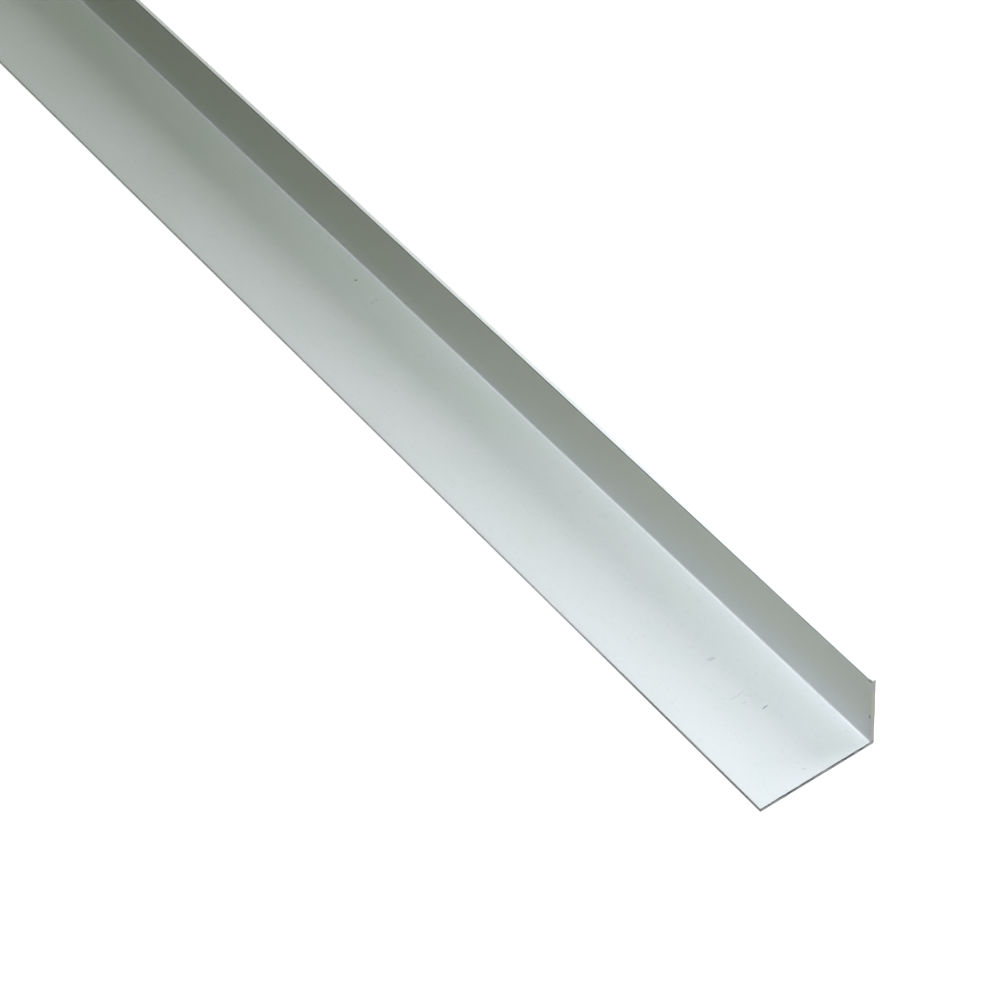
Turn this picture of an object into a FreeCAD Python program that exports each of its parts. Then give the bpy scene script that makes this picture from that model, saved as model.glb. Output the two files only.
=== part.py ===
"""Unequal-leg PVC angle profile, an extruded length of raw stock.

One piece: an L-shaped section with a wide flange and a narrow flange of the same wall, extruded in rigid
PVC and sawn square at both ends. The section has a small fillet in the inside corner, a slightly eased
outside corner, and eased edges along both flange tips.

Row frame, in millimetres: the profile lies on the outer face of its wide flange, with the narrow flange
standing up. +X runs along the length, +Y points from the wide flange's free edge to the standing flange,
and +Z is up. The origin is on the resting face, at mid-length and at the middle of the wide flange.
"""

import FreeCAD, Part
import math
import os

# Driving sizes
STOCK_LENGTH = 1000.0  # along X
WIDE_FLANGE = 30.0  # outside width of the flange that lies flat, along Y
NARROW_FLANGE = 20.0  # outside height of the standing flange, along Z
WALL = 1.0  # thickness of both flanges

# Corner radii of the section
INSIDE_CORNER_RADIUS = 0.4
OUTSIDE_CORNER_RADIUS = 0.25
FLANGE_TIP_RADIUS = 0.2

NODE = "angle_profile"
PARTS_FOLDER = "parts"


def section_corners():
    """Corners of the L-shaped section in order round it, each with its radius, in the plane of the sawn end."""
    back = WIDE_FLANGE / 2
    front = -WIDE_FLANGE / 2
    return [
        (back, 0, OUTSIDE_CORNER_RADIUS),
        (back, NARROW_FLANGE, FLANGE_TIP_RADIUS),
        (back - WALL, NARROW_FLANGE, FLANGE_TIP_RADIUS),
        (back - WALL, WALL, INSIDE_CORNER_RADIUS),
        (front, WALL, FLANGE_TIP_RADIUS),
        (front, 0, FLANGE_TIP_RADIUS),
    ]


def rounded_corner(before, corner, after, radius):
    """Start, middle and end points of the arc that rounds one corner between its two neighbours."""
    towards_before = (before - corner).normalize()
    towards_after = (after - corner).normalize()
    half_angle = towards_before.getAngle(towards_after) / 2
    tangent_length = radius / math.tan(half_angle)
    bisector = (towards_before + towards_after).normalize()
    middle_distance = radius / math.sin(half_angle) - radius
    start = corner + towards_before * tangent_length
    middle = corner + bisector * middle_distance
    end = corner + towards_after * tangent_length
    return start, middle, end


def section_wire(x):
    """Closed outline of the section at a station along the length, as straight runs joined by tangent arcs."""
    corners = [(FreeCAD.Vector(x, y, z), radius) for y, z, radius in section_corners()]
    arcs = []
    for index, (point, radius) in enumerate(corners):
        before = corners[index - 1][0]
        after = corners[(index + 1) % len(corners)][0]
        arcs.append(rounded_corner(before, point, after, radius))

    edges = []
    for index, (start, middle, end) in enumerate(arcs):
        next_start = arcs[(index + 1) % len(arcs)][0]
        edges.append(Part.Arc(start, middle, end).toShape())
        edges.append(Part.LineSegment(end, next_start).toShape())
    return Part.Wire(edges)


def angle_profile():
    """The whole length of profile as one solid, centred on the origin along X."""
    sawn_end = Part.Face(section_wire(-STOCK_LENGTH / 2))
    return sawn_end.extrude(FreeCAD.Vector(STOCK_LENGTH, 0, 0))


def main():
    os.makedirs(PARTS_FOLDER, exist_ok=True)
    profile = angle_profile()
    profile.exportStep(os.path.join(PARTS_FOLDER, NODE + ".step"))
    box = profile.BoundBox
    print(f"{NODE}: {box.XLength:.2f} x {box.YLength:.2f} x {box.ZLength:.2f} mm, {profile.Volume:.0f} mm3")


main()
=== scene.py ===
"""A length of unequal-leg PVC angle profile lying on a pale studio floor.

The profile lies on its wide flange with the narrow flange standing up along the back. +X runs along the
length, +Y points from the wide flange's free edge to the standing flange, and +Z is up. All sizes are in
metres.
"""

import logging
import math
from dataclasses import dataclass, field
from enum import Enum
from typing import Callable, Sequence

import bmesh
import bpy
from mathutils import Matrix, Vector


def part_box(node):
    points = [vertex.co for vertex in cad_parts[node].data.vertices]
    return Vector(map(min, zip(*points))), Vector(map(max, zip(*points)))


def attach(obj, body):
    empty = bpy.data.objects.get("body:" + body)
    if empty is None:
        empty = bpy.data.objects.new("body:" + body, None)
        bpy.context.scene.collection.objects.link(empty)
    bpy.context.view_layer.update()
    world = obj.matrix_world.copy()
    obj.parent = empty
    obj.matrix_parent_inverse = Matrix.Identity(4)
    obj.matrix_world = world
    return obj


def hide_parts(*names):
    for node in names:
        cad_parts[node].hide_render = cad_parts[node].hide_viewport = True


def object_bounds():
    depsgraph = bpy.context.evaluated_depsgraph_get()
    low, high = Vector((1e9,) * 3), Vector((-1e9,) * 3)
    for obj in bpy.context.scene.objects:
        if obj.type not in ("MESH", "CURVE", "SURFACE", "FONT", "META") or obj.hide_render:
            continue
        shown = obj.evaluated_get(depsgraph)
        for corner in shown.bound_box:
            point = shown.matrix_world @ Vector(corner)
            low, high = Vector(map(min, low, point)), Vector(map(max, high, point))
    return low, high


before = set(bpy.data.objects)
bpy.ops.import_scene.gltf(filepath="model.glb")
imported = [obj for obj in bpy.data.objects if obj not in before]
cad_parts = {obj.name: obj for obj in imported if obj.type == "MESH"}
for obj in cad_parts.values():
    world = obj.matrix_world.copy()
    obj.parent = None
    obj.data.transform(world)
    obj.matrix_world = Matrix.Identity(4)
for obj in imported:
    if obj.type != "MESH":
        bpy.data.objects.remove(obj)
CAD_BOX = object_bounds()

LOG = logging.getLogger("angle_profile")
MM = 0.001
NODE = "angle_profile"

Triple = tuple[float, float, float]
Colour = Triple
Socket = bpy.types.NodeSocket
PVC_IOR = 1.54
FULL_TURN = 6.2832


class Axis(Enum):
    """The three directions of the profile's frame."""

    LENGTH = (1.0, 0.0, 0.0)
    WIDTH = (0.0, 1.0, 0.0)
    HEIGHT = (0.0, 0.0, 1.0)


class Face(Enum):
    """The two inside faces of the angle."""

    WIDE = "wide flange"
    NARROW = "narrow flange"


class MarkKind(Enum):
    """What a handling mark does to the surface: its name says how strong it is."""

    SCRATCH = "scratch"
    SPECK = "speck"
    FAINT = "faint"
    SMUDGE = "smudge"
    STAIN = "stain"


# --------------------------------------------------------------------------------------------------
# Editing by hand


class EditBench:
    """Edit-mode work on one mesh object: picking by place, then one operator at a time."""

    def __init__(self, piece: bpy.types.Object) -> None:
        """Keeps the piece that is worked on.

        Args:
            piece: The mesh object, which is the active one.
        """
        self.piece = piece

    def __enter__(self) -> "EditBench":
        """Opens edit mode.

        Returns:
            The bench itself.
        """
        bpy.ops.object.mode_set(mode="EDIT")
        return self

    def __exit__(self, *problem: object) -> None:
        """Closes edit mode.

        Args:
            problem: What a failing block passes on; it isn't handled here.
        """
        bpy.ops.object.mode_set(mode="OBJECT")

    def pick(self, mode: str, test: Callable[[object], bool]) -> None:
        """Selects the vertices, edges or faces that pass a test, and nothing else.

        Args:
            mode: VERT, EDGE or FACE.
            test: Says whether one element is wanted.
        """
        bpy.ops.mesh.select_mode(type=mode)
        bpy.ops.mesh.select_all(action="DESELECT")
        mesh = bmesh.from_edit_mesh(self.piece.data)
        elements = {"VERT": mesh.verts, "EDGE": mesh.edges, "FACE": mesh.faces}[mode]
        for element in [element for element in elements if test(element)]:
            element.select_set(True)
        mesh.select_flush_mode()
        bmesh.update_edit_mesh(self.piece.data)

    def cut(self, axis: Axis, places: Sequence[float]) -> None:
        """Cuts the whole mesh by planes square to an axis, keeping both sides.

        Args:
            axis: The direction that the planes are square to.
            places: Where each plane stands along that axis.
        """
        for place in places:
            bpy.ops.mesh.select_all(action="SELECT")
            bpy.ops.mesh.bisect(
                plane_co=tuple(place * part for part in axis.value),
                plane_no=axis.value,
                threshold=1e-7,
            )

    def round_edges(self, radius: float, segments: int, test: Callable[[object], bool]) -> None:
        """Rounds the edges that pass a test.

        Args:
            radius: The radius of the rounded edge.
            segments: How many flats make the round.
            test: Says whether one edge is rounded.
        """
        self.pick("EDGE", test)
        bpy.ops.mesh.bevel(
            offset=radius, offset_type="OFFSET", segments=segments, profile=0.5, affect="EDGES"
        )


def spread(start: float, stop: float, step: float) -> list[float]:
    """Even places between two ends, leaving both ends out.

    Args:
        start: One end.
        stop: The other end.
        step: The wanted distance between places, met as nearly as an even split allows.

    Returns:
        The places, in order.
    """
    count = max(int(round((stop - start) / step)), 1)
    return [start + (stop - start) * index / count for index in range(1, count)]


# --------------------------------------------------------------------------------------------------
# Finishes


class NodeSheet:
    """A material's node tree, filled one node at a time."""

    def __init__(self, name: str) -> None:
        """Makes the material with a bare surface shader and its output.

        Args:
            name: The material's name.
        """
        self.material = bpy.data.materials.new(name)
        self.material.use_nodes = True
        self.tree = self.material.node_tree
        self.tree.nodes.clear()
        self.shader = self.tree.nodes.new("ShaderNodeBsdfPrincipled")
        self.output = self.tree.nodes.new("ShaderNodeOutputMaterial")
        self.tree.links.new(self.shader.outputs["BSDF"], self.output.inputs["Surface"])
        self.place = self.tree.nodes.new("ShaderNodeTexCoord").outputs["Object"]

    def add(
        self, kind: str, inputs: dict[str | int, object] | None = None, **settings: object
    ) -> bpy.types.Node:
        """Adds a node, with its settings and what goes into it.

        Args:
            kind: The node's type, without the usual prefix.
            inputs: A value or another node's output for each input, by name or number.
            settings: Properties of the node itself.

        Returns:
            The node.
        """
        node = self.tree.nodes.new("ShaderNode" + kind)
        for key, value in settings.items():
            setattr(node, key, value)
        for key, value in (inputs or {}).items():
            if isinstance(value, Socket):
                self.tree.links.new(value, node.inputs[key])
            else:
                node.inputs[key].default_value = value
        return node

    def maths(self, operation: str, first: object, second: object = 0.0) -> Socket:
        """A number worked out from two others.

        Args:
            operation: The Math node's operation.
            first: A value or an output.
            second: A value or an output.

        Returns:
            The result's socket.
        """
        return self.add("Math", {0: first, 1: second}, operation=operation).outputs[0]

    def ramp(
        self, value: object, low: float, high: float, to_low: float, to_high: float
    ) -> Socket:
        """A value carried smoothly from one range to another and held at the ends.

        Args:
            value: The output that is carried over.
            low: Where the first range starts.
            high: Where the first range ends.
            to_low: What the start becomes.
            to_high: What the end becomes.

        Returns:
            The result's socket.
        """
        node = self.add(
            "MapRange",
            {"Value": value, "From Min": low, "From Max": high, "To Min": to_low, "To Max": to_high},
            interpolation_type="SMOOTHSTEP",
        )
        return node.outputs["Result"]

    def blend(self, amount: object, first: object, second: object) -> Socket:
        """Two colours blended.

        Args:
            amount: How much of the second, from 0 to 1.
            first: A colour or an output.
            second: A colour or an output.

        Returns:
            The blended colour's socket.
        """
        node = self.add("Mix", data_type="RGBA", blend_type="MIX")
        for index, value in ((0, amount), (6, first), (7, second)):
            if isinstance(value, Socket):
                self.tree.links.new(value, node.inputs[index])
            else:
                node.inputs[index].default_value = value if index == 0 else (*value, 1.0)
        return node.outputs[2]

    def stretched(self, scale: Triple) -> Socket:
        """The place on the piece, with each axis multiplied by its own number.

        Args:
            scale: The multipliers along the length, the width and the height.

        Returns:
            The stretched place's socket.
        """
        return self.add("Mapping", {"Vector": self.place, "Scale": scale}).outputs["Vector"]

    def noise(
        self, place: object, scale: float, detail: float = 2.0, roughness: float = 0.5
    ) -> Socket:
        """Soft random variation from 0 to 1.

        Args:
            place: Where the noise is read.
            scale: How many features there are to a metre.
            detail: How many finer layers are added.
            roughness: How strong the finer layers are.

        Returns:
            The noise's socket.
        """
        node = self.add(
            "TexNoise", {"Vector": place, "Scale": scale, "Detail": detail, "Roughness": roughness}
        )
        return node.outputs["Fac"]

    def axis_of(self, axis: Axis) -> Socket:
        """One coordinate of the place on the piece.

        Args:
            axis: Which coordinate.

        Returns:
            The coordinate's socket.
        """
        node = self.add("SeparateXYZ", {0: self.place})
        return node.outputs[list(Axis).index(axis)]


@dataclass(frozen=True)
class Mark:
    """A handling mark on an inside face, placed from the sawn end at +X.

    from_end is measured along the length, and across from the wide flange's free edge, or up from the
    floor on the narrow flange.
    """

    kind: MarkKind
    face: Face
    from_end: float
    across: float
    long: float
    wide: float
    turn_deg: float = 0.0


HANDLING_MARKS = (
    Mark(MarkKind.SCRATCH, Face.WIDE, 21.0 * MM, 17.9 * MM, 2.3 * MM, 0.34 * MM, 97.0),
    Mark(MarkKind.FAINT, Face.WIDE, 27.1 * MM, 15.2 * MM, 5.6 * MM, 0.35 * MM, 90.0),
    Mark(MarkKind.FAINT, Face.WIDE, 24.7 * MM, 15.0 * MM, 2.2 * MM, 0.4 * MM, 84.0),
    Mark(MarkKind.FAINT, Face.WIDE, 38.5 * MM, 17.2 * MM, 3.0 * MM, 1.2 * MM, 70.0),
    Mark(MarkKind.FAINT, Face.WIDE, 3.0 * MM, 13.6 * MM, 1.4 * MM, 0.5 * MM, 80.0),
    Mark(MarkKind.SPECK, Face.WIDE, 184.3 * MM, 24.7 * MM, 0.9 * MM, 0.6 * MM, 60.0),
    Mark(MarkKind.FAINT, Face.WIDE, 175.7 * MM, 24.6 * MM, 1.1 * MM, 0.7 * MM, 80.0),
    Mark(MarkKind.FAINT, Face.WIDE, 175.4 * MM, 23.3 * MM, 1.3 * MM, 0.6 * MM, 95.0),
    Mark(MarkKind.SMUDGE, Face.WIDE, 86.5 * MM, 24.6 * MM, 5.0 * MM, 4.0 * MM, 20.0),
    Mark(MarkKind.SMUDGE, Face.WIDE, 96.0 * MM, 23.9 * MM, 7.0 * MM, 3.0 * MM, 70.0),
    Mark(MarkKind.SMUDGE, Face.WIDE, 25.5 * MM, 17.4 * MM, 5.0 * MM, 2.4 * MM, 60.0),
    Mark(MarkKind.STAIN, Face.WIDE, 4.0 * MM, 22.0 * MM, 12.0 * MM, 13.0 * MM, 15.0),
    Mark(MarkKind.FAINT, Face.NARROW, 183.7 * MM, 6.8 * MM, 0.8 * MM, 0.7 * MM, 90.0),
    Mark(MarkKind.FAINT, Face.NARROW, 165.8 * MM, 5.3 * MM, 0.8 * MM, 0.6 * MM, 80.0),
    Mark(MarkKind.FAINT, Face.NARROW, 163.0 * MM, 15.5 * MM, 1.2 * MM, 0.5 * MM, 70.0),
    Mark(MarkKind.SCRATCH, Face.NARROW, 0.5 * MM, 8.8 * MM, 1.7 * MM, 0.45 * MM, 90.0),
    Mark(MarkKind.SCRATCH, Face.NARROW, 0.9 * MM, 19.5 * MM, 1.5 * MM, 0.5 * MM, 0.0),
)


@dataclass(frozen=True)
class SkinFinish:
    """The die-formed skin of rigid PVC: pale cool grey-white, satin, smooth, lightly handled."""

    name: str = "extruded_skin"
    body: Colour = (0.77, 0.8, 0.775)
    cloud: Colour = (0.735, 0.785, 0.74)
    # painted shade: a darker, warmer tint towards the narrow flange's top
    upright_top_shade: Colour = (0.76, 0.785, 0.67)
    # painted shade: the narrow flange's darker colour away from the +X end
    far_upright_shade: Colour = (0.635, 0.66, 0.53)
    # painted light: the paler band of the wide flange beside the inside corner
    corner_band_light: Colour = (0.85, 0.9, 0.855)
    # painted highlight: the pale line on the inside corner's fillet
    fillet_highlight: Colour = (0.95, 0.99, 0.95)
    # painted light: the pale colour of the narrow flange's tip and the wide flange's free edge
    tip: Colour = (0.95, 0.98, 0.95)
    stain: Colour = (0.73, 0.79, 0.69)
    fleck: Colour = (0.6, 0.64, 0.6)
    # dark edge lines: a thin line under the narrow flange's tip, and painted shade on the free edge by the +X
    # end
    edge_dark: Colour = (0.1, 0.1, 0.09)
    scuff: Colour = (0.14, 0.18, 0.2)
    smear: Colour = (0.6, 0.66, 0.64)
    roughness: float = 0.36
    fillet_roughness: float = 0.26
    ior: float = PVC_IOR
    # how far the painted light beside the corner reaches
    corner_light_band_width: float = 3.6 * MM
    pit_reach: float = 0.17
    tip_dark_line: float = 0.3 * MM
    marks: tuple[Mark, ...] = HANDLING_MARKS

    def make(self, profile: "AngleProfile") -> bpy.types.Material:
        """Builds the material.

        Args:
            profile: The piece it is for, which says where the faces and the corner are.

        Returns:
            The material.
        """
        sheet = NodeSheet(self.name)
        cloud = sheet.noise(sheet.stretched((0.35, 1.0, 1.0)), 95.0, 3.0)
        colour = sheet.blend(sheet.ramp(cloud, 0.38, 0.68, 0.0, 0.75), self.body, self.cloud)
        # painted shade: darker, warmer tint up the narrow flange
        colour = sheet.blend(self.upright_top_painted_shade(sheet, profile), colour, self.upright_top_shade)
        # painted shade: the narrow flange darkened away from the +X end
        colour = sheet.blend(self.far_upright_painted_shade(sheet, profile), colour, self.far_upright_shade)
        # painted light: paler band beside the inside corner
        colour = sheet.blend(self.corner_band_painted_light(sheet, profile), colour, self.corner_band_light)
        # painted highlight on the inside corner's fillet
        colour = sheet.blend(self.fillet(sheet, profile), colour, self.fillet_highlight)
        # painted light: paler tip and free edge
        colour = sheet.blend(self.tip_and_free_edge_painted_light(sheet, profile), colour, self.tip)
        colour = sheet.blend(self.pits(sheet, profile), colour, self.scuff)
        # thin dark line under the narrow flange's tip, and painted shade on the free edge by the +X end
        colour = sheet.blend(self.edge_dark_lines(sheet, profile), colour, self.edge_dark)
        flecks = sheet.noise(sheet.stretched((0.6, 1.0, 1.0)), 1300.0, 2.0)
        colour = sheet.blend(sheet.ramp(flecks, 0.56, 0.8, 0.0, 0.3), colour, self.fleck)
        strengths = {
            MarkKind.STAIN: (self.stain, 0.6),
            MarkKind.SMUDGE: (self.smear, 0.42),
            MarkKind.FAINT: (self.scuff, 0.24),
            MarkKind.SPECK: (self.scuff, 0.95),
            MarkKind.SCRATCH: (self.scuff, 0.8),
        }
        worn = 0.0
        for kind, (tone, strength) in strengths.items():
            mask = self.marked(sheet, profile, kind)
            mask = sheet.maths("MULTIPLY", mask, strength)
            colour = sheet.blend(mask, colour, tone)
            worn = sheet.maths("MAXIMUM", worn, mask)
        sheet.tree.links.new(colour, sheet.shader.inputs["Base Color"])

        rub = sheet.noise(sheet.stretched((0.25, 1.0, 1.0)), 160.0, 4.0)
        shine = sheet.ramp(rub, 0.3, 0.7, self.roughness - 0.035, self.roughness + 0.05)
        shine = sheet.maths("ADD", shine, sheet.maths("MULTIPLY", worn, 0.25))
        smoother = self.roughness - self.fillet_roughness
        polish = sheet.maths("MULTIPLY", self.fillet(sheet, profile), smoother)
        shine = sheet.maths("SUBTRACT", shine, polish)
        sheet.tree.links.new(shine, sheet.shader.inputs["Roughness"])
        sheet.shader.inputs["IOR"].default_value = self.ior
        sheet.tree.links.new(self.relief(sheet, worn), sheet.shader.inputs["Normal"])
        return sheet.material

    def fillet(self, sheet: NodeSheet, profile: "AngleProfile") -> Socket:
        """Where the inside corner's fillet is, which carries a painted highlight in the colour and a lower
        roughness.

        Args:
            sheet: The material's node tree.
            profile: The piece, for the place of the corner.

        Returns:
            A mask, 1 on the fillet.
        """
        middle_width, middle_height = profile.fillet_middle
        across = sheet.maths("SUBTRACT", sheet.axis_of(Axis.WIDTH), middle_width)
        above = sheet.maths("SUBTRACT", sheet.axis_of(Axis.HEIGHT), middle_height)
        reach = sheet.maths(
            "MAXIMUM", sheet.maths("ABSOLUTE", across), sheet.maths("ABSOLUTE", above)
        )
        return sheet.ramp(reach, profile.inside_radius * 0.6, profile.inside_radius * 1.0, 1.0, 0.0)

    def upright_top_painted_shade(self, sheet: NodeSheet, profile: "AngleProfile") -> Socket:
        """How far up the narrow flange a place is, where painted shade gives a darker, warmer tint towards the
        top.

        Args:
            sheet: The material's node tree.
            profile: The piece, for the height of its narrow flange.

        Returns:
            A mask, 1 towards the narrow flange's tip.
        """
        patches = sheet.noise(sheet.stretched((0.3, 1.0, 1.0)), 130.0, 2.0)
        height = sheet.maths("ADD", sheet.axis_of(Axis.HEIGHT), sheet.maths("MULTIPLY", patches, 5.0 * MM))
        return sheet.ramp(height, profile.inner_height + 3.0 * MM, profile.high.z - 2.0 * MM, 0.0, 1.0)

    def far_upright_painted_shade(self, sheet: NodeSheet, profile: "AngleProfile") -> Socket:
        """Where painted shade darkens the narrow flange: away from the sawn end at +X, less close to the
        corner.

        Args:
            sheet: The material's node tree.
            profile: The piece, for the height of its narrow flange.

        Returns:
            A mask, 1 where the painted shade is darkest.
        """
        away = sheet.ramp(sheet.axis_of(Axis.LENGTH), profile.high.x - 0.2, profile.high.x - 0.05, 0.85, 0.0)
        height = sheet.axis_of(Axis.HEIGHT)
        above = sheet.ramp(height, profile.inner_height + 0.5 * MM, profile.inner_height + 6.0 * MM, 0.35, 1.0)
        clear = sheet.ramp(height, profile.inner_height + 0.3 * MM, profile.inner_height + 0.5 * MM, 0.0, 1.0)
        return sheet.maths("MULTIPLY", sheet.maths("MULTIPLY", away, above), clear)

    def corner_band_painted_light(self, sheet: NodeSheet, profile: "AngleProfile") -> Socket:
        """The band of the wide flange's inside face along the corner, lightened by painted light.

        Args:
            sheet: The material's node tree.
            profile: The piece, for the place of the corner.

        Returns:
            A mask, 1 at the corner.
        """
        along = sheet.axis_of(Axis.WIDTH)
        band = sheet.ramp(along, profile.inner_width - self.corner_light_band_width, profile.inner_width, 0.0, 0.5)
        floor = profile.inner_height
        height = sheet.axis_of(Axis.HEIGHT)
        low = sheet.ramp(height, floor + 0.2 * MM, floor + 0.5 * MM, 1.0, 0.0)
        return sheet.maths("MULTIPLY", band, low)

    def tip_and_free_edge_painted_light(self, sheet: NodeSheet, profile: "AngleProfile") -> Socket:
        """The narrow flange's tip and the free edge, lightened by painted light.

        Args:
            sheet: The material's node tree.
            profile: The piece, for the height of its narrow flange.

        Returns:
            A mask, 1 on the tip.
        """
        height = sheet.axis_of(Axis.HEIGHT)
        top = sheet.ramp(height, profile.high.z - 0.1 * MM, profile.high.z - 0.03 * MM, 0.0, 0.9)
        across = sheet.axis_of(Axis.WIDTH)
        free = sheet.ramp(across, profile.low.y + 0.03 * MM, profile.low.y + 0.15 * MM, 0.95, 0.0)
        return sheet.maths("MAXIMUM", top, free)

    def pits(self, sheet: NodeSheet, profile: "AngleProfile") -> Socket:
        """Tiny dark pits on the narrow flange, thickest beside the corner and away from the ends.

        Args:
            sheet: The material's node tree.
            profile: The piece, for the place of the corner.

        Returns:
            A mask, 1 in each pit.
        """
        grain = sheet.noise(sheet.stretched((0.55, 1.0, 1.0)), 1500.0, 1.0)
        height = sheet.axis_of(Axis.HEIGHT)
        close = sheet.ramp(
            height, profile.inner_height + 0.4 * MM, profile.inner_height + 3.0 * MM, self.pit_reach, 0.0
        )
        away = sheet.ramp(sheet.axis_of(Axis.LENGTH), profile.high.x - 0.2, profile.high.x - 0.06, 1.0, 0.25)
        clear = sheet.ramp(height, profile.inner_height + 0.3 * MM, profile.inner_height + 0.5 * MM, 0.0, 1.0)
        level = sheet.maths("ADD", grain, sheet.maths("MULTIPLY", close, away))
        return sheet.maths("MULTIPLY", sheet.ramp(level, 0.8, 0.86, 0.0, 0.5), clear)

    def edge_dark_lines(self, sheet: NodeSheet, profile: "AngleProfile") -> Socket:
        """Thin dark lines: a line under the narrow flange's tip, and painted shade on the free edge by the
        sawn end.

        Args:
            sheet: The material's node tree.
            profile: The piece, for the places of its edges.

        Returns:
            A mask, 1 in the lines.
        """
        patches = sheet.noise(sheet.stretched((0.12, 1.0, 1.0)), 420.0, 3.0)
        along = sheet.axis_of(Axis.LENGTH)
        across = sheet.axis_of(Axis.WIDTH)
        height = sheet.axis_of(Axis.HEIGHT)
        foot = profile.high.z - self.tip_dark_line
        above_foot = sheet.ramp(height, foot - 0.12 * MM, foot, 0.0, 1.0)
        below_tip = sheet.ramp(
            height, profile.high.z - 0.1 * MM, profile.high.z - 0.04 * MM, 1.0, 0.0
        )
        under_tip = sheet.maths("MULTIPLY", above_foot, below_tip)
        inside = sheet.ramp(across, profile.inner_width + 0.25 * MM, profile.inner_width + 0.4 * MM, 1.0, 0.0)
        fading = sheet.ramp(along, profile.high.x - 0.12, profile.high.x - 0.01, 0.92, 0.55)
        tip_line = sheet.maths("MULTIPLY", sheet.maths("MULTIPLY", under_tip, inside), fading)
        free_edge = sheet.ramp(across, profile.low.y + 0.04 * MM, profile.low.y + 0.13 * MM, 1.0, 0.0)
        by_end = sheet.ramp(along, profile.high.x - 0.075, profile.high.x - 0.03, 0.0, 0.85)
        # painted shade on the free edge near the +X end
        free_edge_painted_shade = sheet.maths("MULTIPLY", free_edge, by_end)
        lines = sheet.maths("MAXIMUM", tip_line, free_edge_painted_shade)
        return sheet.maths("MULTIPLY", lines, sheet.ramp(patches, 0.28, 0.55, 0.55, 1.0))

    def marked(self, sheet: NodeSheet, profile: "AngleProfile", kind: MarkKind) -> Socket:
        """Where the marks of one kind are.

        Args:
            sheet: The material's node tree.
            profile: The piece, for the places of its faces.
            kind: The marks that are wanted.

        Returns:
            A mask, 1 in the middle of each mark.
        """
        wobble = sheet.add("TexNoise", {"Vector": sheet.place, "Scale": 900.0, "Detail": 2.0})
        shift = sheet.add(
            "VectorMath", {0: wobble.outputs["Color"], 1: (0.5, 0.5, 0.5)}, operation="SUBTRACT"
        )
        raggedness = {
            MarkKind.STAIN: 6.0 * MM,
            MarkKind.SMUDGE: 3.2 * MM,
            MarkKind.FAINT: 0.7 * MM,
            MarkKind.SPECK: 0.25 * MM,
            MarkKind.SCRATCH: 0.25 * MM,
        }
        spread_by = raggedness[kind]
        moved = sheet.add("VectorMath", {0: shift.outputs[0], "Scale": spread_by}, operation="SCALE")
        place = sheet.add("VectorMath", {0: sheet.place, 1: moved.outputs[0]}, operation="ADD").outputs[0]
        mask: object = 0.0
        for mark in (mark for mark in self.marks if mark.kind is kind):
            centre, turn, size = profile.mark_frame(mark)
            local = sheet.add(
                "Mapping",
                {"Vector": place, "Location": centre, "Rotation": turn, "Scale": size},
                vector_type="TEXTURE",
            )
            reach = sheet.add("VectorMath", {0: local.outputs["Vector"]}, operation="LENGTH").outputs["Value"]
            inner = 0.0 if kind in (MarkKind.SMUDGE, MarkKind.STAIN) else 0.45
            mask = sheet.maths("MAXIMUM", mask, sheet.ramp(reach, inner, 1.0, 1.0, 0.0))
        return mask

    def relief(self, sheet: NodeSheet, worn: Socket) -> Socket:
        """Fine relief: the die's faint lines, the skin's slight unevenness, and the marks' hollows.

        Args:
            sheet: The material's node tree.
            worn: Where the marks are.

        Returns:
            The normal's socket.
        """
        lines = sheet.noise(sheet.stretched((0.012, 1.0, 1.0)), 1500.0, 2.0)
        skin = sheet.noise(sheet.stretched((0.5, 1.0, 1.0)), 240.0, 3.0)
        height = sheet.maths("ADD", sheet.maths("MULTIPLY", lines, 0.35), skin)
        height = sheet.maths("SUBTRACT", height, sheet.maths("MULTIPLY", worn, 1.5))
        bump = sheet.add("Bump", {"Strength": 0.12, "Distance": 0.04 * MM, "Height": height})
        return bump.outputs["Normal"]


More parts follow.
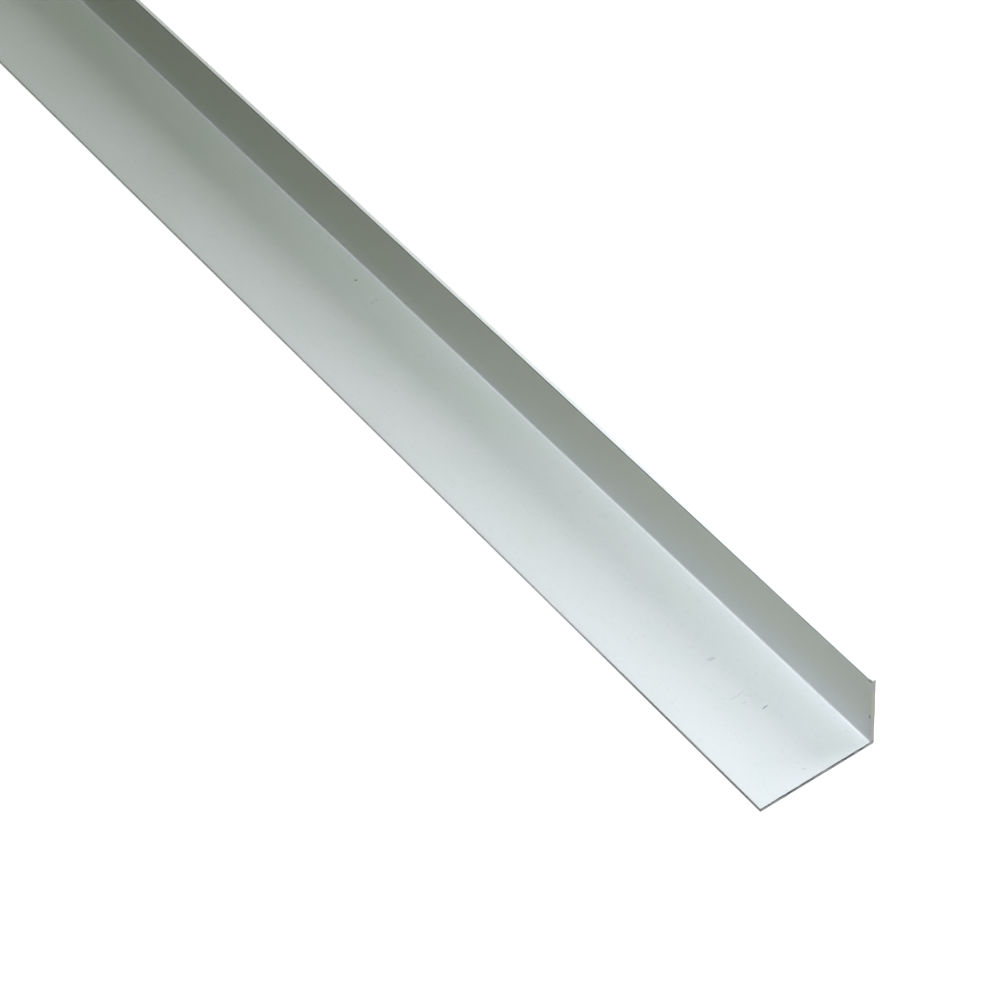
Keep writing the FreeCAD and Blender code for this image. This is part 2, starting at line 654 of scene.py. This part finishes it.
@dataclass(frozen=True)
class SawnFinish:
    """The rough, slightly warmer face that a fine saw leaves on PVC."""

    name: str = "sawn_end"
    body: Colour = (0.95, 0.94, 0.87)
    kerf: Colour = (0.8, 0.8, 0.73)
    yellowed: Colour = (0.93, 0.92, 0.68)
    # painted shade: the dark line along the upper edge of the wide flange's cut
    cut_edge_shade: Colour = (0.09, 0.1, 0.1)
    roughness: float = 0.72
    kerf_spacing: float = 0.42 * MM
    kerf_turn_deg: float = 24.0
    yellowed_at: float = 12.5 * MM
    cut_shade_ragged: float = 1.8 * MM

    def make(self, profile: "AngleProfile") -> bpy.types.Material:
        """Builds the material.

        Args:
            profile: The piece it is for, which says where the flanges meet.

        Returns:
            The material.
        """
        sheet = NodeSheet(self.name)
        turned = sheet.add(
            "Mapping", {"Vector": sheet.place, "Rotation": (math.radians(self.kerf_turn_deg), 0.0, 0.0)}
        )
        saw = sheet.add(
            "TexWave",
            {"Vector": turned.outputs["Vector"], "Scale": 1.0 / self.kerf_spacing / FULL_TURN * 2.0,
             "Distortion": 2.5, "Detail": 3.0, "Detail Scale": 1.6},
            wave_type="BANDS", bands_direction="Y",
        ).outputs["Fac"]
        grit = sheet.noise(sheet.place, 2600.0, 3.0, 0.6)
        mixed = sheet.maths("ADD", sheet.maths("MULTIPLY", saw, 0.55), sheet.maths("MULTIPLY", grit, 0.6))
        colour = sheet.blend(sheet.ramp(mixed, 0.35, 0.85, 0.0, 1.0), self.kerf, self.body)
        height = sheet.axis_of(Axis.HEIGHT)
        middle = sheet.maths("ABSOLUTE", sheet.maths("SUBTRACT", height, self.yellowed_at))
        colour = sheet.blend(sheet.ramp(middle, 1.5 * MM, 5.5 * MM, 0.75, 0.0), colour, self.yellowed)
        # painted shade along the upper edge of the wide flange's cut
        colour = sheet.blend(self.cut_edge_painted_shade(sheet, profile, height), colour, self.cut_edge_shade)
        sheet.tree.links.new(colour, sheet.shader.inputs["Base Color"])
        sheet.shader.inputs["Roughness"].default_value = self.roughness
        sheet.shader.inputs["IOR"].default_value = PVC_IOR
        bump = sheet.add("Bump", {"Strength": 0.5, "Distance": 0.08 * MM, "Height": mixed})
        sheet.tree.links.new(bump.outputs["Normal"], sheet.shader.inputs["Normal"])
        return sheet.material

    def cut_edge_painted_shade(
        self, sheet: NodeSheet, profile: "AngleProfile", height: Socket
    ) -> Socket:
        """The uneven dark line of painted shade along the upper edge of the wide flange's cut.

        Args:
            sheet: The material's node tree.
            profile: The piece, for the thickness of its wide flange.
            height: The height of the place.

        Returns:
            A mask, 1 in the line.
        """
        ragged = sheet.noise(sheet.place, 330.0, 4.0, 0.65)
        shift = sheet.maths("MULTIPLY", sheet.maths("SUBTRACT", ragged, 0.5), self.cut_shade_ragged)
        edge = sheet.maths("ADD", height, shift)
        line = sheet.ramp(edge, profile.inner_height * 0.42, profile.inner_height * 0.7, 0.1, 0.95)
        flange = sheet.ramp(
            sheet.axis_of(Axis.WIDTH), profile.inner_width - 1.0 * MM, profile.inner_width, 1.0, 0.25
        )
        below = sheet.ramp(
            height, profile.inner_height + 0.02 * MM, profile.inner_height + 0.5 * MM, 1.0, 0.0
        )
        return sheet.maths("MULTIPLY", sheet.maths("MULTIPLY", line, flange), below)


# --------------------------------------------------------------------------------------------------
# The profile


@dataclass
class AngleProfile:
    """The whole length of profile: two flanges in one wall, eased corners, and two sawn ends."""

    name: str = "profile"
    wall: float = 1.0 * MM
    inside_radius: float = 0.4 * MM
    outside_radius: float = 0.25 * MM
    tip_radius: float = 0.2 * MM
    sawn_edge: float = 0.07 * MM
    burr: float = 0.14 * MM
    station: float = 5.0 * MM
    rib: float = 1.6 * MM
    free_edge_lift: float = 0.28 * MM
    upright_lean: float = 0.35 * MM
    cage_stations: int = 11
    cage_rows: int = 4
    bow_stations: float = 2.6
    bow_start: float = 0.35
    skin: SkinFinish = field(default_factory=SkinFinish)
    sawn: SawnFinish = field(default_factory=SawnFinish)

    def __post_init__(self) -> None:
        """Reads the profile's outside faces from its solid's box."""
        low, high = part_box(NODE)
        self.low = Vector(low)
        self.high = Vector(high)
        self.inner_width = self.high.y - self.wall
        self.inner_height = self.low.z + self.wall
        middle = self.inside_radius * (1.0 - math.sqrt(0.5))
        self.fillet_middle = (self.inner_width - middle, self.inner_height + middle)

    def build(self) -> bpy.types.Object:
        """Models the profile and dresses it.

        Returns:
            The finished piece.
        """
        piece = self.blank()
        with EditBench(piece) as bench:
            self.raise_upright(bench)
            self.ease_corners(bench)
            self.cut_stations(bench)
            self.saw_ends(bench)
            self.nick_tip(bench)
        self.settle(piece)
        self.dress(piece)
        return piece

    def blank(self) -> bpy.types.Object:
        """The wide flange as a plain slab, at its size and place.

        Returns:
            The slab.
        """
        size = self.high - self.low
        bpy.ops.object.select_all(action="DESELECT")
        bpy.ops.mesh.primitive_cube_add(
            size=1.0, location=(0.0, (self.low.y + self.high.y) / 2, self.low.z + self.wall / 2)
        )
        piece = bpy.context.active_object
        piece.name = self.name
        piece.data.name = self.name
        bpy.ops.transform.resize(value=(size.x - 2 * self.burr, size.y, self.wall))
        bpy.ops.object.transform_apply(location=True, rotation=True, scale=True)
        return piece

    def raise_upright(self, bench: EditBench) -> None:
        """Draws the narrow flange up out of the slab's back strip.

        Args:
            bench: The piece in edit mode.
        """
        bench.cut(Axis.WIDTH, [self.inner_width])
        bench.pick(
            "FACE", lambda face: face.normal.z > 0.9 and face.calc_center_median().y > self.inner_width
        )
        rise = self.high.z - self.inner_height
        bpy.ops.mesh.extrude_region_move(TRANSFORM_OT_translate={"value": (0.0, 0.0, rise)})

    def ease_corners(self, bench: EditBench) -> None:
        """Rounds the six long corners of the section, each to its own radius.

        Args:
            bench: The piece in edit mode.
        """
        corners = (
            (self.inside_radius, 6, [(self.inner_width, self.inner_height)]),
            (self.outside_radius, 5, [(self.high.y, self.low.z)]),
            (self.tip_radius, 4, [(self.low.y, self.low.z), (self.low.y, self.inner_height),
                                  (self.inner_width, self.high.z), (self.high.y, self.high.z)]),
        )
        for radius, segments, places in corners:
            bench.round_edges(radius, segments, lambda edge: self.runs_along(edge, places))

    @staticmethod
    def runs_along(edge: bmesh.types.BMEdge, places: Sequence[tuple[float, float]]) -> bool:
        """Says whether an edge runs along the length at one of some places in the section.

        Args:
            edge: The edge.
            places: Pairs of width and height.

        Returns:
            Whether it does.
        """
        close = 0.01 * MM
        return any(
            all(abs(v.co.y - y) < close and abs(v.co.z - z) < close for v in edge.verts)
            for y, z in places
        )

    def cut_stations(self, bench: EditBench) -> None:
        """Divides the walls along the length and across the flanges, closer together near the ends.

        Args:
            bench: The piece in edit mode.
        """
        reach = self.high.x - self.burr
        near_end = [0.25 * MM, 0.6 * MM, 1.2 * MM, 2.2 * MM, 3.5 * MM]
        middle = spread(-reach, reach, self.station)
        ends = [side * (reach - step) for step in near_end for side in (-1, 1)]
        third = self.wall * 0.36
        across = [self.low.y + self.tip_radius, self.inner_width - self.inside_radius]
        across += spread(across[0], across[1], self.rib)
        across += [self.inner_width + third, self.high.y - third]
        up = [self.inner_height + self.inside_radius, self.high.z - self.tip_radius]
        up += spread(up[0], up[1], self.rib)
        up += [self.low.z + third, self.inner_height - third]
        bench.cut(Axis.WIDTH, sorted(across))
        bench.cut(Axis.HEIGHT, sorted(up))
        bench.cut(Axis.LENGTH, sorted(middle + ends))

    def saw_ends(self, bench: EditBench) -> None:
        """Breaks the sawn edges and makes the cuts slightly uneven.

        Args:
            bench: The piece in edit mode.
        """
        reach = self.high.x - self.burr
        for seed, side in enumerate((-1.0, 1.0), start=11):
            bench.pick("FACE", lambda face: face.normal.x * side > 0.9)
            bpy.ops.mesh.inset(thickness=self.sawn_edge, depth=0.0, use_boundary=True)
            bench.pick("VERT", lambda vert: abs(vert.co.x * side - reach) < 0.001 * MM)
            bpy.ops.transform.vertex_random(offset=self.sawn_edge * 0.6, uniform=0.0, normal=0.0, seed=seed)

    def nick_tip(self, bench: EditBench) -> None:
        """Knocks a small nick into the narrow flange's inside edge, at the top of the +X end.

        Args:
            bench: The piece in edit mode.
        """
        reach = self.high.x - self.burr
        bench.pick(
            "VERT",
            lambda vert: reach - 0.9 * MM < vert.co.x < reach - 0.1 * MM
            and vert.co.y < self.inner_width + self.tip_radius
            and vert.co.z > self.high.z - self.tip_radius * 1.2,
        )
        bpy.ops.transform.translate(value=(0.0, self.tip_radius * 0.4, -self.tip_radius * 0.7))

    def settle(self, piece: bpy.types.Object) -> None:
        """Gives the thin flanges the slight bow of a real length, with a lattice.

        Args:
            piece: The profile.
        """
        size = self.high - self.low
        cage_data = bpy.data.lattices.new("bow_cage")
        cage_data.points_u = self.cage_stations
        cage_data.points_v = self.cage_rows
        cage_data.points_w = self.cage_rows
        cage = bpy.data.objects.new("bow_cage", cage_data)
        bpy.context.scene.collection.objects.link(cage)
        cage.location = (self.low + self.high) / 2
        cage.scale = size
        for index, point in enumerate(cage_data.points):
            row, along = divmod(index, self.cage_stations)
            up, across = divmod(row, self.cage_rows)
            turns = (along + self.bow_start) / self.bow_stations
            wave = 0.5 - 0.5 * math.cos(2.0 * math.pi * turns)
            out = 1.0 - across / (self.cage_rows - 1)
            point.co_deform.z += self.free_edge_lift / size.z * wave * out * out
            point.co_deform.y -= self.upright_lean / size.y * wave * (up / (self.cage_rows - 1)) ** 2
        bow = piece.modifiers.new("bow", "LATTICE")
        bow.object = cage
        bpy.context.view_layer.objects.active = piece
        bpy.ops.object.modifier_apply(modifier=bow.name)
        bpy.data.objects.remove(cage)
        bpy.data.lattices.remove(cage_data)

    def dress(self, piece: bpy.types.Object) -> None:
        """Gives the skin and the sawn ends their materials, and smooths the rounds.

        Args:
            piece: The profile.
        """
        piece.data.materials.append(self.skin.make(self))
        piece.data.materials.append(self.sawn.make(self))
        with EditBench(piece) as bench:
            bench.pick("FACE", lambda face: abs(face.normal.x) > 0.5)
            piece.active_material_index = 1
            bpy.ops.object.material_slot_assign()
        bpy.ops.object.shade_smooth_by_angle(angle=math.radians(32.0))

    def mark_frame(self, mark: Mark) -> tuple[Vector, Triple, Triple]:
        """Where a mark lies on the profile, how it is turned and its half sizes.

        Args:
            mark: The mark.

        Returns:
            Its centre, its turn about each axis, and its half sizes along each of its own axes.
        """
        turn = math.radians(mark.turn_deg)
        depth = 0.4 * MM
        if mark.face is Face.WIDE:
            centre = Vector((self.high.x - mark.from_end, self.low.y + mark.across, self.inner_height))
            return centre, (0.0, 0.0, turn), (mark.long / 2, mark.wide / 2, depth)
        centre = Vector((self.high.x - mark.from_end, self.inner_width, self.low.z + mark.across))
        return centre, (0.0, -turn, 0.0), (mark.long / 2, depth, mark.wide / 2)


# --------------------------------------------------------------------------------------------------
# The studio


@dataclass(frozen=True)
class Lamp:
    """A soft square lamp that the camera doesn't see."""

    name: str
    place: Triple
    aim: Triple
    size: float
    power: float
    colour: Colour = (1.0, 1.0, 1.0)
    spread_deg: float = 180.0

    def make(self) -> None:
        """Hangs the lamp."""
        data = bpy.data.lights.new(self.name, "AREA")
        data.shape = "SQUARE"
        data.size = self.size
        data.energy = self.power
        data.color = self.colour
        data.spread = math.radians(self.spread_deg)
        lamp = bpy.data.objects.new(self.name, data)
        bpy.context.scene.collection.objects.link(lamp)
        lamp.location = self.place
        towards = Vector(self.aim) - Vector(self.place)
        lamp.rotation_euler = towards.to_track_quat("-Z", "Y").to_euler()
        lamp.visible_camera = False


@dataclass
class Studio:
    """The floor, the lamps, the even light round them and the camera."""

    floor_size: float = 14.0
    floor_colour: Colour = (0.42, 0.42, 0.42)
    floor_lift: float = 0.86
    sky_colour: Colour = (1.0, 1.0, 0.82)
    sky_strength: float = 0.035
    camera_azimuth_deg: float = 57.24
    camera_elevation_deg: float = 45.89
    camera_roll_deg: float = -4.02
    camera_distance: float = 0.8089
    camera_lens_mm: float = 131.1
    aim_from_end: float = 105.3 * MM
    aim_aside: float = -5.05 * MM
    lamps: tuple[Lamp, ...] = (
        Lamp("near", (0.55, -0.02, 0.30), (0.52, 0.0, 0.0), 0.06, 0.645, (0.97, 1.0, 1.16)),
        Lamp("back", (0.50, 0.40, 0.42), (0.42, 0.0, 0.0), 0.30, 1.48, (1.03, 1.0, 1.1)),
        Lamp("side", (-0.02, -0.575, 0.30), (0.46, 0.0, 0.0), 0.12, 0.006, (1.0, 1.0, 1.0), 24.0),
        Lamp("top", (0.30, 0.05, 0.90), (0.30, 0.0, 0.0), 0.12, 0.62, (0.72, 1.0, 0.35)),
        Lamp("far", (-0.36, 0.10, 0.62), (-0.36, 0.0, 0.0), 0.40, 0.95, (1.0, 1.0, 1.0), 70.0),
    )

    def build(self) -> None:
        """Sets up the whole studio."""
        self.floor()
        self.sky()
        for lamp in self.lamps:
            lamp.make()
        self.camera()

    @staticmethod
    def seen_directly(tree: bpy.types.NodeTree) -> Socket:
        """Where a surface is seen by the camera, in a reflection or through something clear.

        Args:
            tree: The node tree it is for.

        Returns:
            A mask, 1 where it is.
        """
        path = tree.nodes.new("ShaderNodeLightPath")
        total = path.outputs["Is Camera Ray"]
        for name in ("Is Glossy Ray", "Is Transmission Ray"):
            either = tree.nodes.new("ShaderNodeMath")
            either.operation = "MAXIMUM"
            tree.links.new(total, either.inputs[0])
            tree.links.new(path.outputs[name], either.inputs[1])
            total = either.outputs[0]
        return total

    def floor(self) -> None:
        """Lays the pale floor under the profile, white where it is seen and shaded where it is covered."""
        bpy.ops.object.select_all(action="DESELECT")
        bpy.ops.mesh.primitive_plane_add(size=self.floor_size, location=(0.0, 0.0, CAD_BOX[0][2]))
        floor = bpy.context.active_object
        floor.name = "floor"
        material = bpy.data.materials.new("pale_floor")
        material.use_nodes = True
        tree = material.node_tree
        tree.nodes.clear()
        matt = tree.nodes.new("ShaderNodeBsdfDiffuse")
        matt.inputs["Color"].default_value = (*self.floor_colour, 1.0)
        lift = tree.nodes.new("ShaderNodeEmission")
        strength = tree.nodes.new("ShaderNodeMath")
        strength.operation = "MULTIPLY"
        strength.inputs[1].default_value = self.floor_lift
        both = tree.nodes.new("ShaderNodeAddShader")
        output = tree.nodes.new("ShaderNodeOutputMaterial")
        tree.links.new(self.seen_directly(tree), strength.inputs[0])
        tree.links.new(strength.outputs[0], lift.inputs["Strength"])
        tree.links.new(matt.outputs[0], both.inputs[0])
        tree.links.new(lift.outputs[0], both.inputs[1])
        tree.links.new(both.outputs[0], output.inputs["Surface"])
        floor.data.materials.append(material)

    def sky(self) -> None:
        """Surrounds the studio with even light, and plain white where it is seen."""
        world = bpy.data.worlds.new("studio")
        bpy.context.scene.world = world
        world.use_nodes = True
        tree = world.node_tree
        tree.nodes.clear()
        even = tree.nodes.new("ShaderNodeBackground")
        even.inputs["Color"].default_value = (*self.sky_colour, 1.0)
        even.inputs["Strength"].default_value = self.sky_strength
        white = tree.nodes.new("ShaderNodeBackground")
        white.inputs["Color"].default_value = (1.0, 1.0, 1.0, 1.0)
        white.inputs["Strength"].default_value = 1.0
        choice = tree.nodes.new("ShaderNodeMixShader")
        output = tree.nodes.new("ShaderNodeOutputWorld")
        tree.links.new(self.seen_directly(tree), choice.inputs[0])
        tree.links.new(even.outputs[0], choice.inputs[1])
        tree.links.new(white.outputs[0], choice.inputs[2])
        tree.links.new(choice.outputs[0], output.inputs["Surface"])

    def camera(self) -> None:
        """Stands the camera beyond the sawn end, looking down along the profile."""
        azimuth = math.radians(self.camera_azimuth_deg)
        elevation = math.radians(self.camera_elevation_deg)
        back = Vector((
            math.sin(azimuth) * math.cos(elevation),
            -math.cos(azimuth) * math.cos(elevation),
            math.sin(elevation),
        ))
        aim = Vector((CAD_BOX[1][0] - self.aim_from_end, self.aim_aside, CAD_BOX[0][2]))
        data = bpy.data.cameras.new("camera")
        data.lens = self.camera_lens_mm
        data.sensor_width = 36.0
        data.clip_start = 0.01
        data.clip_end = 100.0
        camera = bpy.data.objects.new("camera", data)
        bpy.context.scene.collection.objects.link(camera)
        level = (-back).to_track_quat("-Z", "Y").to_matrix().to_4x4()
        roll = Matrix.Rotation(math.radians(self.camera_roll_deg), 4, "Z")
        camera.matrix_world = Matrix.Translation(aim + back * self.camera_distance) @ level @ roll
        bpy.context.scene.camera = camera


def main() -> None:
    """Builds the profile and the studio, and reports each."""
    logging.basicConfig(level=logging.INFO, format="%(name)s: %(message)s")
    profile = AngleProfile()
    piece = profile.build()
    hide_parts(NODE)
    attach(piece, "root")
    LOG.info("%s: %d faces", piece.name, len(piece.data.polygons))
    studio = Studio()
    studio.build()
    LOG.info("studio: %d lamps", len(studio.lamps))
    bpy.context.scene.view_settings.view_transform = "Standard"


if __name__ == "__main__":
    main()
